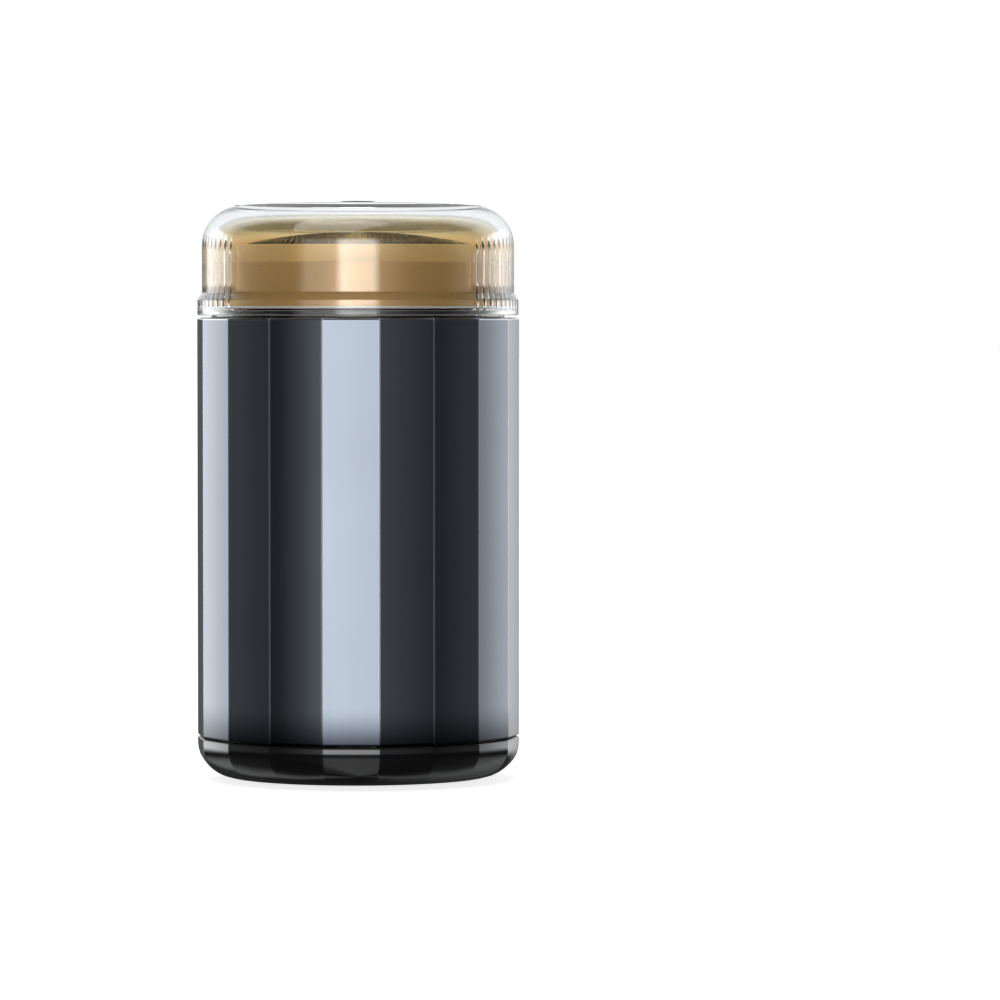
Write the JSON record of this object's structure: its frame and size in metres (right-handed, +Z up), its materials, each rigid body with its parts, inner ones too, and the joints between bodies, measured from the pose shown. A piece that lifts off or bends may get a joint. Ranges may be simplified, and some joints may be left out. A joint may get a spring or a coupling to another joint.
{
  "type": "pocket rotary shaver",
  "caption": "Pocket rotary electric shaver standing on its base: faceted dark metal body, gloss black base and collar, round foil head in a pale ring, clear cap with an amber lining.",
  "frame": {"origin": "centre of the base's flat face, on the body's axis", "axes": "+Z up along the body, from base to head; -Y is the plain front facet; +Y is the facet with the power button, status light and charging socket"},
  "size_m": [0.042, 0.0418, 0.075],
  "materials": {
    "shell_metal": "dark blue-grey, glossy, anodised",
    "gloss_black": "gloss black",
    "rubber_grey": "matt",
    "steel": "bright steel",
    "soft_black": "matt black",
    "cell_wrap": "shrink wrap",
    "wire_red": "insulation",
    "wire_black": "insulation",
    "magnet": "sintered magnet",
    "brass": "plain",
    "board_green": "solder mask",
    "chip_black": "moulded",
    "light_lens": "clear light pipe",
    "copper_red": "laminations with lacquered copper windings",
    "silver_white": "satin silver-white",
    "hub_grey": "moulded",
    "clear_plastic": "clear",
    "amber_plastic": "translucent amber"
  },
  "bodies": {
    "body": {"body_shell": "shell_metal", "base_cover": "gloss_black", "base_pad": "rubber_grey", "base_screw_1": "steel", "base_screw_2": "steel", "base_screw_3": "steel", "base_seal": "rubber_grey", "chassis": "soft_black", "battery_cell": "cell_wrap", "battery_tab_pos": "steel", "battery_tab_neg": "steel", "battery_wire_pos": "wire_red", "battery_wire_neg": "wire_black", "motor_can": "steel", "motor_end_cap": "soft_black", "motor_magnet": "magnet", "motor_terminal_pos": "brass", "motor_terminal_neg": "brass", "motor_wire_pos": "wire_red", "motor_wire_neg": "wire_black", "motor_screw_1": "steel", "motor_screw_2": "steel", "collar": "gloss_black", "collar_seal": "rubber_grey", "collar_screw_1": "steel", "collar_screw_2": "steel", "collar_screw_3": "steel", "shaft_seal": "rubber_grey", "pcb": "board_green", "tact_switch": "chip_black", "led": "light_lens", "led_lens": "light_lens", "control_chip": "chip_black", "charge_chip": "chip_black", "usb_socket": "steel", "usb_tongue": "chip_black"},
    "spindle": {"motor_rotor": "copper_red", "motor_shaft": "steel", "coupling_spring": "steel"},
    "coupling": {"drive_coupling": "soft_black"},
    "head": {"head_ring": "silver_white", "head_carrier": "soft_black", "foil": "steel", "cutter_clip": "soft_black"},
    "cutter": {"cutter_hub": "hub_grey", "cutter_blades": "steel"},
    "cap": {"cap_shell": "clear_plastic", "cap_liner": "amber_plastic"},
    "button": {"power_button": "soft_black"}
  },
  "joints": [
    {"name": "head_pull", "type": "slide", "parent": "body", "child": "head", "axis": [0, 0, 1], "range_m": [0, 0.025]},
    {"name": "cap_lift", "type": "slide", "parent": "head", "child": "cap", "axis": [0, 0, 1], "range_m": [0, 0.03]},
    {"name": "spindle_spin", "type": "hinge", "parent": "body", "child": "spindle", "pos_m": [0, 0, 0.04], "axis": [0, 0, 1], "continuous": true},
    {"name": "cutter_spin", "type": "hinge", "parent": "head", "child": "cutter", "pos_m": [0, 0, 0.063], "axis": [0, 0, 1], "continuous": true},
    {"name": "coupling_press", "type": "slide", "parent": "spindle", "child": "coupling", "axis": [0, 0, -1], "range_m": [0, 0.0015], "stiffness_N_per_m": 300, "deforming": ["coupling_spring"]},
    {"name": "button_press", "type": "slide", "parent": "body", "child": "button", "axis": [0, -1, 0], "range_m": [0, 0.0006], "stiffness_N_per_m": 400}
  ],
  "couplings": [
    {"joint": "cutter_spin", "follows": "spindle_spin", "ratio": 1}
  ]
}
